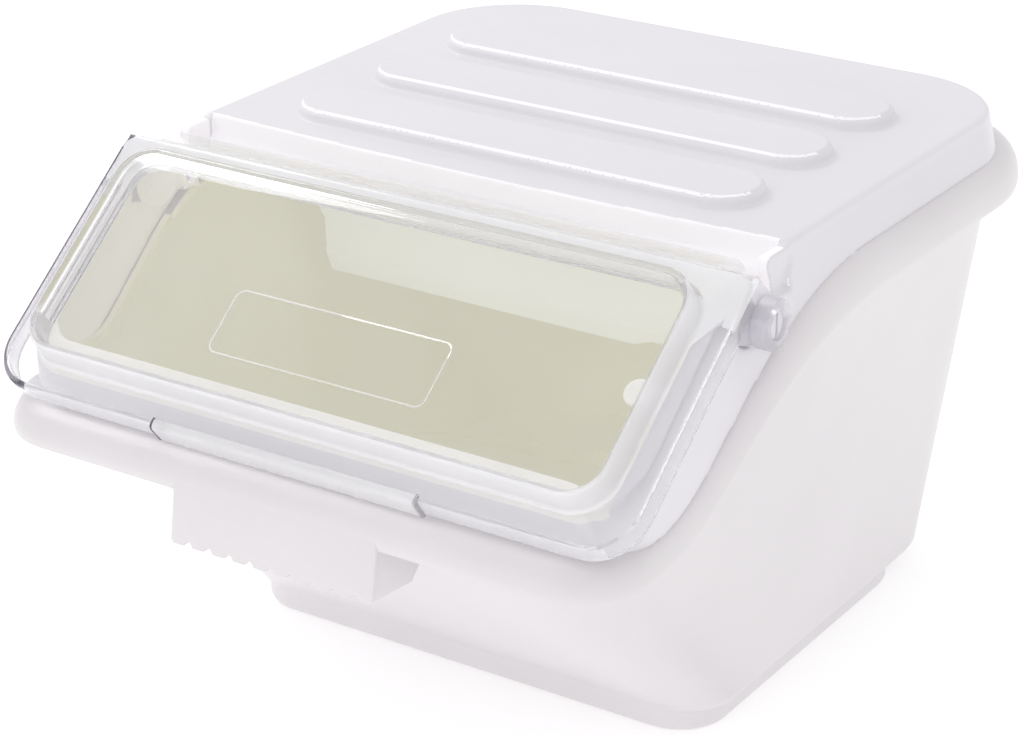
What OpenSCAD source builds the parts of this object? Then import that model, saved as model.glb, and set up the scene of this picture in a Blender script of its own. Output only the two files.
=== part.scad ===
/* [Bin] */
// Width over the bin's rim, at the back
rim_w = 304; // [294:1:316]
// How much further in the lip's sides are than the rim's, on each side
lip_narrow = 8; // [6:0.5:11]
// Depth from the front lip to the edge of the rear grip flange
rim_d = 380; // [370:1:400]
// Corner radius of the rear grip flange
rim_rear_r = 84; // [72:1:96]
// Corner radius of the front lip
rim_front_r = 30; // [24:1:36]
// Height of the rim that the cover stands on, at the back
rim_z = 199.5; // [198:0.5:201]
// Fall of the rim from the back to the front
lip_fall = 66; // [63:0.5:68]
// Slope of the rim between its two levels, degrees
rim_slope = 38.5; // [36:0.5:41]
// Bend radius of the rim's upper turn
upper_turn_r = 140; // [110:1:150]
// Bend radius of the rim's lower turn
lower_turn_r = 60; // [40:1:66]
// Distance from the front lip to the middle of the rim's slope
slope_mid_d = 98.7; // [96:0.1:101]
// Fall from the rim to the edge of the grip flange, at the back
drop_rear = 15; // [12:0.5:17]
// Fall from the rim to the edge of the lip, at the front
drop_front = 11; // [9:0.5:13]
// Wall thickness of the bin
wall = 3; // [2.4:0.1:3.6]
// Width of the walls where they meet the foot
wall_foot_w = 233.4; // [228:0.2:240]
// Distance from the rear wall to the edge of the grip flange
grip_d = 35; // [30:1:42]
// Distance from the lip's edge to the top of the front wall
front_set = 11.3; // [10.5:0.1:12]
// Corner radius of the front wall's upper corners, under the lip
wall_front_r = 86; // [70:1:95]
// Height of the lip that locates the cover
upstand_h = 5; // [4:0.5:6]

/* [Foot] */
// Width of the foot
foot_w = 225; // [216:1:227]
// Depth of the foot
foot_d = 182; // [172:1:192]
// Height of the foot
foot_h = 11.5; // [9:0.5:14]
// Distance from the front lip back to the foot
foot_set = 124.8; // [123:0.2:126]
// Corner radius of the foot
foot_r = 22; // [16:1:28]

/* [Pull handle] */
// Width of the pull handle
pull_w = 94; // [80:1:110]
// Height of the handle plate below the lip
pull_h = 23; // [18:1:26]
// Thickness of the handle plate and its end walls
pull_t = 3; // [2.4:0.1:3.6]
// Forward flare of the plate's lower edge
pull_flare = 3.5; // [2:0.5:5]
// Number of grip notches along the lower edge
notches = 9; // [5:1:9]
// Pitch of the grip notches
notch_pitch = 9.7; // [8:0.1:10]

/* [Cover] */
// Distance from the bin's rim in to the cover's flat top, on each side
cover_side = 14; // [13:0.5:16]
// Flare of each side from the flat top to the rim, at the back
cover_flare = 7; // [5:0.5:8]
// Height of the cover's flat top above the rim
cover_rise = 15.5; // [14.5:0.5:18]
// Distance from the front lip to the front edge of the flat top
mouth_d = 138.2; // [136:0.1:142]
// Distance from the cover's back to the edge of the grip flange
cover_set = 28; // [25:1:32]
// Corner radius at the cover's back
cover_rear_r = 60; // [50:1:70]
// Corner radius at the cover's front
cover_front_r = 22; // [16:1:24]
// Wall thickness of the cover
cover_t = 3; // [2.6:0.1:3.2]
// Distance from the front lip to the cover's front wall
cover_front_d = 18; // [17.5:0.5:19]
// Height of the step below the flat top
step_h = 9; // [7:0.5:10]
// Depth of the bead at the foot of the step
bead_d = 3.4; // [2:0.1:3.6]
// Forward bow of the step at its middle
step_bow = 4; // [2:0.5:4]
// Width of the land around the mouth
land_w = 6; // [4:0.5:8]
// Length of a raised rib
rib_l = 216; // [200:1:232]
// Width of a raised rib
rib_w = 37; // [30:1:40]
// Height of a raised rib
rib_h = 5; // [3:0.5:7]
// Pitch of the raised ribs
rib_pitch = 54.8; // [52:0.1:58]
// Distance from the flat top's front edge to the middle of the first rib
rib_set = 31.5; // [29:0.5:34]

/* [Flip lid] */
// How far the flip lid reaches past the cover's flat top, on each side
lid_side = 8; // [7:0.5:9]
// Length of the flip lid along its slope
lid_l = 119.6; // [119:0.2:120]
// Height of the lid's back edge above the cover's flat top
lid_proud = 1; // [0.5:0.1:2]
// Distance from the front lip back to the lid's back edge
lid_back_d = 99.2; // [98.8:0.1:99.8]
// Thickness of the clear plastic
lid_t = 2.5; // [2.2:0.1:2.8]
// Depth of the turned-down edge
edge_h = 9.4; // [8:0.2:10]
// Rise of the window above the lid's edge band
window_h = 12; // [9:0.5:12.5]
// Edge band beside the window
band_side = 13.7; // [12:0.1:19]
// Edge band in front of the window
band_front = 12.6; // [11:0.2:16]
// Edge band behind the window
band_rear = 9; // [8:0.2:12]
// Corner radius of the window
window_r = 16; // [10:1:20]
// Width of the finger bar
bar_w = 122; // [100:1:150]
// Distance the finger bar stands forward
bar_out = 1.6; // [1:0.2:2]
// Height of the finger bar above the edge band
bar_rise = 1.2; // [0.6:0.2:2]

/* [Hinge] */
// Distance from the lid's back edge to the hinge axis, along the slope
axis_in = 8.2; // [8:0.1:9]
// Depth of the hinge axis below the lid's top
axis_drop = 18.4; // [18:0.1:18.6]
// Outer radius of the lid's hub
hub_r = 10; // [9:0.1:10.3]
// Length of the lid's hub
hub_l = 14; // [12:0.5:14]
// Radius of the hinge pin
pin_r = 6; // [5:0.1:6.4]
// Radial running clearance on the pin
pin_play = 0.05; // [0.02:0.01:0.08]
// Side gap between the hub and the cover
hub_gap = 0.5; // [0.4:0.1:0.8]
// Thickness of the pin's head
head_t = 2.4; // [2:0.1:2.6]
// Radius of the pin's head
head_r = 8.5; // [8:0.1:9]

/* [Baffle] */
// Distance from the flat top's front edge to the baffle
baffle_set = 68.5; // [66:0.5:70]
// Distance from the side of the cover's flat top to the baffle
baffle_side = 10; // [8:0.5:18]
// Height of the baffle below the cover's top
baffle_h = 90; // [82:1:100]
// Thickness of the baffle
baffle_t = 2.5; // [2:0.1:3]
// Height of the bent strip along the baffle's lower edge
baffle_bend = 9; // [6:1:14]

/* [Hidden] */
eps = 0.01;
white = [0.91, 0.90, 0.91];
clear = [0.86, 0.87, 0.89, 0.35];
// Reach of cutting shapes past the part.
far = 200;
rest_gap = 0.3;
side_gap = 0.8;
arc_steps = 10;
side_steps = 30;
// Widths that follow from the bin's rim.
cover_w = rim_w - 2 * cover_side;
lid_w = cover_w + 2 * lid_side;
window_w = lid_w - 2 * band_side;
baffle_w = cover_w - 2 * baffle_side;
// Heights that follow from the bin's rim.
lip_z = rim_z - lip_fall;
cover_z = rim_z + cover_rise;
lid_back_z = cover_z + lid_proud;
baffle_z = cover_z - cover_t - baffle_h;
// The object's box is centred on Y = 0, from the handle's flare to the grip flange.
lip_y = pull_flare - (rim_d + pull_flare) / 2;
rear_y = lip_y + rim_d;
top_y = lip_y + mouth_d;
foot_y0 = lip_y + foot_set;
foot_y1 = foot_y0 + foot_d;
cover_y0 = lip_y + cover_front_d;
cover_y1 = rear_y - cover_set;
// The rim's side line: two level stretches, a slope and two round turns.
mid_y = lip_y + slope_mid_d;
mid_z = (rim_z + lip_z) / 2;
upper_y = mid_y + (rim_z - mid_z) / tan(rim_slope);
lower_y = mid_y - (mid_z - lip_z) / tan(rim_slope);
upper_len = upper_turn_r * tan(rim_slope / 2);
lower_len = lower_turn_r * tan(rim_slope / 2);
// The bin's walls, as half widths and front lines at a height.
edge_rear_z = rim_z - drop_rear;
wall_top_half = rim_w / 2 - 0.5;
draft = (wall_top_half - wall_foot_w / 2) / (edge_rear_z - foot_h);
wall_y0 = foot_y0 - 1.6;
wall_y1 = rear_y - grip_d;
wall_foot_rear_r = 41;
wall_foot_y1 = wall_y1 - 3.5;
upstand_t = 2.4;
// The upstand leans in as the cover's side does.
upstand_in = upstand_h * cover_flare / (cover_z - cover_t - 3 - rim_z);
// It is left out below the hinge, where the cover's slot comes down.
hinge_gap_y = top_y - 9;
hinge_gap_d = 38;
flange_under = 2.2;
wall_top_front = lip_y + front_set;
front_lean = atan((wall_y0 - wall_top_front) / (lip_z - drop_front - flange_under - foot_h));
front_wall_in = wall / cos(front_lean) + 0.1;
under_lift = 9;
lift_run = 60;
// The flip lid's plane and the hinge axis.
lid_slope = 38.5;
lid_y = lip_y + lid_back_d;
axis_y = lid_y - axis_in * cos(lid_slope) + axis_drop * sin(lid_slope);
axis_z = lid_back_z - axis_in * sin(lid_slope) - axis_drop * cos(lid_slope);
hub_in = cover_w / 2 - 0.1 + hub_gap;
pocket_x = hub_in - hub_gap;
hinge_wall_in = pocket_x - 3.4;
land_drop = lid_t + 0.6;
collar_r = axis_drop - land_drop;
slot_floor = 6.5;
swing_r = norm([axis_in, axis_drop]);
gutter_y = axis_y + swing_r + 0.6;
gutter_z = axis_z + 1.5;
seat_r = 14;
lid_hinge_out = hub_in + hub_l;
apron_half = cover_w / 2 - land_w - 3;
apron_end = 28;
stub_in = 1;
slit_w = 1.6;
slit_d = 7;
ear_r = 10;
ear_d = 12.5;
ear_down = 3.5;
tab_y = top_y - 80;
tab_w = 11;
guide_t = 2.4;
guide_h = 26;
guide_gap = 0.2;
baffle_y = top_y + baffle_set;

function lerp(a, b, t) = a + (b - a) * t;

// Height of the line where the cover meets the bin, along the side.
function seam(y) =
    y >= upper_y + upper_len ? rim_z
    : y >= upper_y - upper_len * cos(rim_slope)
        ? rim_z - upper_turn_r + sqrt(pow(upper_turn_r, 2) - pow(y - upper_y - upper_len, 2))
    : y >= lower_y + lower_len * cos(rim_slope) ? mid_z + (y - mid_y) * tan(rim_slope)
    : y >= lower_y - lower_len
        ? lip_z + lower_turn_r - sqrt(pow(lower_turn_r, 2) - pow(y - lower_y + lower_len, 2))
    : lip_z;

// 0 where the rim runs at its front level, 1 at its rear level.
function level(y) = (seam(y) - lip_z) / (rim_z - lip_z);
function edge_z(y) = seam(y) - lerp(drop_front, drop_rear, level(y));
function wall_half(z) = wall_foot_w / 2 + draft * (z - foot_h);
function wall_front(z) = wall_y0 - (z - foot_h) * tan(front_lean);

// Right half of a plan outline, from the middle of the front to the middle of the back.
function half_outline(w, y0, y1, r0, r1) = [
    for (i = [0 : arc_steps])
        let (a = -90 + 90 * i / arc_steps) [w - r0 + r0 * cos(a), y0 + r0 + r0 * sin(a)],
    for (i = [1 : side_steps - 1]) [w, lerp(y0 + r0, y1 - r1, i / side_steps)],
    for (i = [0 : arc_steps])
        let (a = 90 * i / arc_steps) [w - r1 + r1 * cos(a), y1 - r1 + r1 * sin(a)]
];
function mirrored(half) = [
    each half,
    for (i = [len(half) - 1 : -1 : 0]) [-half[i].x, half[i].y]
];
function outline(w, y0, y1, r0, r1) = mirrored(half_outline(w, y0, y1, r0, r1));

// An outline lifted to a height that depends on Y, with its sides drawn in.
function ring(o, height, draw_in = function(y) 0) = [
    for (p = o) [p.x - sign(p.x) * draw_in(p.y), p.y, height(p.y)]
];

// A solid through rings of equal count, closed at both ends by level strips.
module loft(rings) {
    n = len(rings[0]);
    m = len(rings);
    sides = [
        for (k = [0 : m - 2], i = [0 : n - 1])
            let (j = (i + 1) % n)
            each [[k * n + i, k * n + n + i, k * n + n + j], [k * n + i, k * n + n + j, k * n + j]]
    ];
    first_cap = [for (i = [0 : n / 2 - 2]) [i, i + 1, n - 2 - i, n - 1 - i]];
    last_cap = [for (f = first_cap) [for (i = [3 : -1 : 0]) (m - 1) * n + f[i]]];
    polyhedron([for (r = rings) each r], concat(sides, first_cap, last_cap), convexity = 10);
}

module rounded_plate(w, y0, y1, r0, r1, h) {
    linear_extrude(h) polygon(outline(w / 2, y0, y1, r0, r1));
}

// Extrudes a Y-Z profile across the whole width between two X values.
module across(x0, x1) {
    translate([x0, 0, 0])
        rotate([90, 0, 90])
            linear_extrude(x1 - x0) children();
}

// ---- bin ----

// Outer edge of the rim, seen from above, drawn in by a distance.
function rim_outline(d) = outline(
    rim_w / 2 - d, lip_y + d, rear_y - d, rim_front_r - d, rim_rear_r - d
);

// The line where the cover's skirt stands, drawn in by a distance.
function skirt_outline(d) = outline(
    cover_w / 2 + cover_flare - d, cover_y0 + d, cover_y1 - d, cover_front_r - d, cover_rear_r - d
);
skirt_narrow = cover_flare * 0.6;

function wall_foot_outline(d) = outline(
    wall_foot_w / 2 - d, wall_y0 + d, wall_foot_y1 - d, foot_r - d / 2, wall_foot_rear_r - d
);
function foot_outline(d) = outline(
    foot_w / 2 - d, foot_y0 + d, foot_y1 - d, foot_r - d / 2, foot_r - d / 2
);

// The top of the drafted walls, just under the rim, with wider front corners than the rim's.
wall_top_z = function(y) edge_z(y) - flange_under
    + under_lift * min(1, max(0, (y - wall_y1 + lift_run) / lift_run));
inner_top_z = function(y) edge_z(y) - 1;
wall_top_rear_r = rim_rear_r - 4;
function wall_top_outline(d, front_d) =
    let (y0 = wall_top_front + front_d, r = wall_front_r - d)
    [
        for (p = outline(wall_top_half - d, y0, wall_y1 - d, rim_front_r - d, wall_top_rear_r - d))
            let (in_corner = min(r, max(0, r - (p.y - y0))))
            [sign(p.x) * min(abs(p.x), wall_top_half - d - r + sqrt(r * r - in_corner * in_corner)), p.y]
    ];

// The soft shoulder from the rim's edge up to the skirt's line.
function shoulder(a) =
    let (e = rim_outline(0), s = skirt_outline(0), t = 1 - cos(a))
    [for (i = [0 : len(e) - 1])
        let (
            y = lerp(e[i].y, s[i].y, t),
            ex = e[i].x - sign(e[i].x) * lip_narrow * (1 - level(e[i].y)),
            sx = s[i].x - sign(s[i].x) * skirt_narrow * (1 - level(s[i].y))
        )
        [lerp(ex, sx, t), y, lerp(edge_z(y), seam(y) - rest_gap, sin(a))]
    ];

module bin_shell() {
    flat = function(z) function(y) z;
    seat = function(y) seam(y) - rest_gap;
    upstand_top = function(y) seam(y) + (abs(y - hinge_gap_y) < hinge_gap_d / 2 ? 0.5 : upstand_h);
    skirt_in = function(y) skirt_narrow * (1 - level(y));
    rim_in = function(y) lip_narrow * (1 - level(y));
    loft([
        ring(foot_outline(2.5), flat(0)),
        ring(foot_outline(0.7), flat(0.7)),
        ring(foot_outline(0), flat(2.5)),
        ring(foot_outline(0), flat(foot_h)),
        ring(wall_foot_outline(1.5), flat(foot_h)),
        ring(wall_foot_outline(0), flat(foot_h + 2)),
        ring(wall_top_outline(0, 0), wall_top_z, function(y) wall_top_half - wall_half(wall_top_z(y))),
        ring(rim_outline(1.6), function(y) edge_z(y) - flange_under, rim_in),
        for (a = [0 : 18 : 90]) shoulder(a),
        ring(skirt_outline(cover_t + side_gap), seat, skirt_in),
        ring(skirt_outline(cover_t + side_gap + upstand_in), upstand_top, skirt_in),
        ring(skirt_outline(cover_t + side_gap + upstand_in + upstand_t), upstand_top, skirt_in),
        ring(skirt_outline(cover_t + side_gap + upstand_t), function(y) seat(y) - wall, skirt_in),
        ring(wall_top_outline(wall, front_wall_in), inner_top_z,
            function(y) wall_top_half - wall_half(inner_top_z(y))),
        ring(wall_foot_outline(wall), flat(foot_h + wall)),
        ring(foot_outline(wall), flat(foot_h + 0.5)),
        ring(foot_outline(wall), flat(wall))
    ]);
}

module pull_handle() {
    top = lip_z - drop_front + 1;
    low = top - pull_h;
    back = wall_front(low + 2) + 2;
    plate = [
        [lip_y, top], [lip_y - pull_flare, low], [lip_y - pull_flare + pull_t, low],
        [lip_y + pull_t, top]
    ];
    end_wall = [
        [lip_y + pull_t / 2, top], [lip_y - pull_flare + pull_t / 2, low + 1], [back, low + 2],
        [wall_front(top) + 2, top]
    ];
    difference() {
        across(-pull_w / 2, pull_w / 2) polygon(plate);
        for (i = [0 : notches - 1])
            translate([(i - (notches - 1) / 2) * notch_pitch, lip_y - pull_flare - 1, low])
                rotate([-90, 0, 0])
                    cylinder(r = 1.9, h = pull_t + 3, $fn = 24);
    }
    for (s = [-1, 1])
        across(s * (pull_w - pull_t) / 2 - pull_t / 2, s * (pull_w - pull_t) / 2 + pull_t / 2)
            polygon(end_wall);
}

module bin_body() {
    color(white) union() {
        bin_shell();
        pull_handle();
    }
}

// ---- cover ----

// Side profile of the cover's top: land, collar round the hinge, slot, gutter, step, flat top.
function land_line_z(y) = lid_back_z + (y - lid_y) * tan(lid_slope) - land_drop / cos(lid_slope);
cover_profile = [
    [lip_y - far, land_line_z(lip_y - far)],
    for (i = [0 : 12])
        let (a = 90 + lid_slope - i * (90 + lid_slope) / 12)
        [axis_y + collar_r * cos(a), axis_z + collar_r * sin(a)],
    [axis_y + collar_r, axis_z - slot_floor],
    [gutter_y, axis_z - slot_floor],
    [gutter_y, gutter_z],
    [top_y - bead_d, gutter_z],
    [top_y - bead_d, cover_z - step_h],
    [top_y, cover_z - step_h],
    [top_y, cover_z],
    [rear_y + far, cover_z],
    [rear_y + far, -far],
    [lip_y - far, -far]
];

module cover_block(d, low, high) {
    w = cover_w / 2;
    top_out = function(k) outline(
        w - d - k, cover_y0 + 2 + d + k, cover_y1 - 3 - d - k,
        cover_front_r - d - k, cover_rear_r - d - k
    );
    skirt_in = function(y) skirt_narrow * (1 - level(y));
    foot = low > 0 ? [ring(skirt_outline(d), function(y) seam(y) - low, skirt_in)] : [];
    loft([
        each foot,
        ring(skirt_outline(d), function(y) seam(y), skirt_in),
        ring(top_out(0), function(y) high - 3),
        ring(top_out(0.9), function(y) high - 0.9),
        ring(top_out(3), function(y) high)
    ]);
}

module ribs(d, h) {
    for (i = [0 : 2])
        translate([0, top_y + rib_set + i * rib_pitch, 0])
            linear_extrude(h) {
                square([rib_l - rib_w, rib_w - 2 * d], center = true);
                for (s = [-1, 1])
                    translate([s * (rib_l - rib_w) / 2, 0])
                        circle(r = rib_w / 2 - d, $fn = 48);
            }
}

module cover_solid() {
    intersection() {
        cover_block(0, 0, cover_z);
        across(-rim_w, rim_w) polygon(cover_profile);
    }
    translate([0, 0, cover_z - eps]) {
        ribs(0, rib_h - 1.5 + eps);
        ribs(1.5, rib_h + eps);
    }
}

module cover_hollow() {
    intersection() {
        cover_block(cover_t, 5, cover_z - cover_t);
        across(-rim_w, rim_w) offset(delta = -cover_t) polygon(cover_profile);
    }
    translate([0, 0, cover_z - cover_t - eps])
        ribs(cover_t + 0.5, rib_h);
}

// The step bows forward in the middle.
module step_front() {
    half = cover_w / 2 - 3;
    r = (half * half + step_bow * step_bow) / (2 * step_bow);
    intersection() {
        translate([0, top_y - step_bow + r, cover_z - step_h])
            cylinder(r = r, h = step_h, $fn = 360);
        translate([-half, top_y - step_bow - 1, cover_z - step_h - 1])
            cube([2 * half, step_bow + 1.5, step_h + 1]);
    }
}

module mouth() {
    half = cover_w / 2 - land_w;
    translate([0, 0, lip_z + 5])
        linear_extrude(cover_z)
            polygon(outline(half, cover_y0 + land_w + 2, gutter_y, 16, 2));
}

// Round ear behind the hinge, where the gutter meets the side.
module ear() {
    translate([pocket_x, top_y - ear_d, cover_z - ear_down - ear_r])
        rotate([-90, 0, 0])
            cylinder(r = ear_r, h = ear_d, $fn = 64);
}

module along_x(x) {
    translate([x, axis_y, axis_z]) rotate([0, 90, 0]) children();
}

module baffle_guides() {
    for (s = [-1, 1], k = [-1, 1])
        translate([
            s * (baffle_w / 2 - 3) - 7,
            baffle_y + baffle_t / 2 + k * (baffle_t / 2 + guide_gap + guide_t / 2) - guide_t / 2,
            cover_z - cover_t - guide_h
        ])
            cube([14, guide_t, guide_h + 1]);
}

module mouth_tab() {
    tip = cover_w / 2 - land_w - 10;
    translate([0, tab_y, land_line_z(tab_y)])
        rotate([lid_slope, 0, 0])
            translate([0, 0, -2.4]) {
                translate([tip, 0, 0]) cylinder(d = tab_w, h = 2.2, $fn = 48);
                translate([tip, -tab_w / 2, 0]) cube([16, tab_w, 2.2]);
            }
}

module cover() {
    color(white) difference() {
        union() {
            difference() {
                cover_solid();
                cover_hollow();
                mouth();
            }
            step_front();
            baffle_guides();
            mouth_tab();
            for (s = [0, 1])
                mirror([s, 0, 0]) {
                    along_x(hinge_wall_in) cylinder(r = seat_r, h = pocket_x - hinge_wall_in, $fn = 96);
                    intersection() {
                        ear();
                        translate([pocket_x - 2, top_y - 50, 0]) cube([30, 100, cover_z]);
                    }
                }
        }
        for (s = [0, 1])
            mirror([s, 0, 0]) {
                along_x(pocket_x) cylinder(r = hub_r + 1, h = 30, $fn = 96);
                along_x(hinge_wall_in - 5) cylinder(r = pin_r, h = 30, $fn = 96);
            }
    }
}

// ---- flip lid ----

// Places children on the lid's sloped plane: its back edge on Y = 0, its top on Z = 0.
module on_lid() {
    translate([0, lid_y, lid_back_z]) rotate([lid_slope, 0, 0]) children();
}

module lid_plate(d, h) {
    rounded_plate(lid_w - 2 * d, -lid_l + d, -d, 20 - d, 8 - d, h);
}

module lid_window(d, h) {
    rounded_plate(
        window_w - 2 * d, -lid_l + band_front + d, -band_rear - d, window_r - d, window_r - d, h
    );
}

// The clear side web that carries the hub below the lid's back corner.
module lid_web() {
    web = [
        [0, 0], [-axis_in + hub_r, -axis_drop], [-axis_in, -axis_drop], [-axis_in - hub_r, -axis_drop],
        [-axis_in - hub_r - 6, -edge_h], [-40, -edge_h], [-40, 0]
    ];
    on_lid() across(lid_w / 2 - lid_t, lid_w / 2) polygon(web);
}

// Curved apron that closes the gap behind the lid's back edge at every angle.
module lid_apron() {
    r_out = swing_r;
    start = 90 + lid_slope - atan(axis_in / axis_drop);
    r_in = r_out - lid_t;
    apron = [
        for (i = [0 : 16]) let (a = lerp(start, apron_end, i / 16))
            [axis_y + r_out * cos(a), axis_z + r_out * sin(a)],
        for (i = [16 : -1 : 0]) let (a = lerp(start + 3, apron_end, i / 16))
            [axis_y + r_in * cos(a), axis_z + r_in * sin(a)]
    ];
    across(-apron_half, apron_half) polygon(apron);
}

module flip_lid() {
    color(clear) difference() {
        union() {
            on_lid() difference() {
                union() {
                    translate([0, 0, -edge_h]) lid_plate(0, edge_h);
                    lid_window(0, window_h);
                    translate([-bar_w / 2, -lid_l - bar_out, -edge_h])
                        cube([bar_w, bar_out + lid_t, edge_h + bar_rise]);
                }
                translate([0, lid_t + 1, -edge_h - 1]) lid_plate(lid_t, edge_h + 1 - lid_t);
                translate([-lid_w / 2 + lid_t, -12, -edge_h - 1])
                    cube([lid_w - 2 * lid_t, 20, edge_h + 1 - lid_t]);
                translate([0, 0, -edge_h - 1]) lid_window(lid_t, edge_h + 1 + window_h - lid_t);
            }
            lid_apron();
            for (s = [0, 1])
                mirror([s, 0, 0]) {
                    lid_web();
                    along_x(hub_in) cylinder(r = hub_r, h = hub_l, $fn = 96);
                }
        }
        for (s = [0, 1])
            mirror([s, 0, 0])
                along_x(hub_in - 5) cylinder(r = pin_r + pin_play, h = hub_l + 10, $fn = 96);
    }
}

// ---- hinge pins ----

// Headed pin from inside the cover, split at its outer end.
module hinge_pin() {
    tip_x = lid_hinge_out - stub_in;
    difference() {
        union() {
            along_x(hinge_wall_in - head_t) cylinder(r = head_r, h = head_t, $fn = 96);
            along_x(hinge_wall_in - head_t) cylinder(r = pin_r, h = tip_x - hinge_wall_in + head_t, $fn = 96);
        }
        translate([tip_x - slit_d, axis_y - slit_w / 2, axis_z - 20]) cube([slit_d + 1, slit_w, 40]);
    }
}

module hinge_pin_right() {
    color(white) hinge_pin();
}

module hinge_pin_left() {
    color(white) mirror([1, 0, 0]) hinge_pin();
}

// ---- baffle ----

module baffle() {
    top = cover_z - cover_t;
    profile = [
        [baffle_y, top], [baffle_y, baffle_z + baffle_bend], [baffle_y + 4, baffle_z],
        [baffle_y + 4 + baffle_t, baffle_z], [baffle_y + baffle_t, baffle_z + baffle_bend],
        [baffle_y + baffle_t, top]
    ];
    color(white) across(-baffle_w / 2, baffle_w / 2) polygon(profile);
}

bin_body();
cover();
flip_lid();
hinge_pin_right();
hinge_pin_left();
baffle();
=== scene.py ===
import math
import bpy
import bmesh
from mathutils import Matrix, Vector


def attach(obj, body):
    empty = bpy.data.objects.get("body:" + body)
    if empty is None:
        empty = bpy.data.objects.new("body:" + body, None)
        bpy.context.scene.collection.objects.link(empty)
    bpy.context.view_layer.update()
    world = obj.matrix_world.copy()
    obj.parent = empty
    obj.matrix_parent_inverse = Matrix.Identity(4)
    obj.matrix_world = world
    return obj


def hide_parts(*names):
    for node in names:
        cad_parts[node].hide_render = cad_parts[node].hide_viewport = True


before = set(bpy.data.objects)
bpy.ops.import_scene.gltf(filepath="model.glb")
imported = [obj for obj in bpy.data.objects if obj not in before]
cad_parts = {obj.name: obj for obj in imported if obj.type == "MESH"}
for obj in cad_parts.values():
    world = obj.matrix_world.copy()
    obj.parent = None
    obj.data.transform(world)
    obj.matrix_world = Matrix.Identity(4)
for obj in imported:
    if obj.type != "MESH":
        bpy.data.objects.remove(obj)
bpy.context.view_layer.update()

MM = 0.001

# ---------------------------------------------------------------- measures, mm
RIM_W, LIP_W, RIM_D = 304.0, 288.0, 380.0
RIM_REAR_R, RIM_FRONT_R = 84.0, 30.0
RIM_Z, LIP_Z, SLOPE = 199.5, 133.5, math.radians(38.5)
UPPER_R, LOWER_R = 140.0, 60.0
DROP_REAR, DROP_FRONT = 15.0, 11.0
WALL = 3.0
FLARE = 3.5
LIP_Y = FLARE - (RIM_D + FLARE) / 2
REAR_Y = LIP_Y + RIM_D
TOP_Y = LIP_Y + 138.2
FOOT_W, FOOT_H, FOOT_R = 225.0, 11.5, 22.0
FOOT_Y0 = LIP_Y + 124.8
FOOT_Y1 = FOOT_Y0 + 182.0
WALL_FOOT_W, WALL_FRONT_R = 233.4, 86.0
COVER_W, COVER_FLARE, COVER_Z = 276.0, 7.0, 215.0
COVER_Y0, COVER_Y1 = LIP_Y + 18.0, REAR_Y - 28.0
COVER_REAR_R, COVER_TOP_R, COVER_FRONT_R, COVER_T = 60.0, 49.0, 22.0, 3.0
STEP_H, BEAD_D, STEP_BOW, LAND_W = 9.0, 3.4, 4.0, 6.0
RIB_L, RIB_W, RIB_H, RIB_PITCH, RIB_SET = 216.0, 37.0, 5.0, 54.8, 31.5
LID_W, LID_L, LID_T, EDGE_H = 292.0, 119.6, 2.5, 9.4
LID_BACK_Z = 216.0
LID_Y = LIP_Y + 99.2
WINDOW_H, WINDOW_W, WINDOW_R = 12.0, 264.6, 16.0
BAND_FRONT, BAND_REAR = 12.6, 9.0
BAR_W, BAR_OUT, BAR_RISE = 122.0, 1.6, 1.2
AXIS_IN, AXIS_DROP, HUB_R, HUB_L = 8.2, 18.4, 10.0, 14.0
PIN_R, PIN_PLAY, HUB_GAP, HEAD_T, HEAD_R = 6.0, 0.05, 0.5, 2.4, 8.5
PANEL_X0, PANEL_X1, PANEL_Y0, PANEL_Y1, PANEL_R = -46.5, 52.5, -89.5, -61.0, 4.0
PANEL_LINE_W, PANEL_LINE_H = 0.65, 0.3
PULL_H, PULL_HALF, PULL_T, PULL_END_IN = 24.0, 47.0, 3.0, 1.9
NOTCHES, NOTCH_PITCH, NOTCH_R = 9, 9.7, 1.9
CHEEK_Z, CHEEK_T, SEAT_R = 213.5, 5.0, 14.0
GUIDE_L, GUIDE_T, GUIDE_H, GUIDE_GAP = 14.0, 2.4, 26.0, 0.2
TAB_R, TAB_OUT, TAB_Y = 5.5, 10.0, TOP_Y - 80.0
CAMERA_LENS, CAMERA_AT = 103.87, (0.6102, -0.9585, 0.6062)
CAMERA_AZ, CAMERA_EL = math.radians(33.229), math.radians(23.449)
BAFFLE_W, BAFFLE_Z, BAFFLE_T, BAFFLE_BEND = 256.0, 122.0, 2.5, 9.0
BAFFLE_Y = TOP_Y + 68.5

MID_Y = LIP_Y + 98.7
MID_Z = (RIM_Z + LIP_Z) / 2
UPPER_Y = MID_Y + (RIM_Z - MID_Z) / math.tan(SLOPE)
LOWER_Y = MID_Y - (MID_Z - LIP_Z) / math.tan(SLOPE)
UPPER_LEN = UPPER_R * math.tan(SLOPE / 2)
LOWER_LEN = LOWER_R * math.tan(SLOPE / 2)
WALL_TOP_HALF = RIM_W / 2 - 0.5
DRAFT = (WALL_TOP_HALF - WALL_FOOT_W / 2) / (RIM_Z - DROP_REAR - FOOT_H)
WALL_Y0, WALL_Y1 = FOOT_Y0 - 1.6, REAR_Y - 35.0
LEAN = math.radians(45.8)
AXIS_Y = LID_Y - AXIS_IN * math.cos(SLOPE) + AXIS_DROP * math.sin(SLOPE)
AXIS_Z = LID_BACK_Z - AXIS_IN * math.sin(SLOPE) - AXIS_DROP * math.cos(SLOPE)
HUB_IN = COVER_W / 2 - 0.1 + HUB_GAP
POCKET_X = HUB_IN - HUB_GAP
HINGE_WALL_IN = POCKET_X - 3.4
LAND_DROP = LID_T + 0.6
COLLAR_R = AXIS_DROP - LAND_DROP
SWING_R = math.hypot(AXIS_IN, AXIS_DROP)
GUTTER_Y, GUTTER_Z = AXIS_Y + SWING_R + 0.6, AXIS_Z + 1.5
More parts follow.
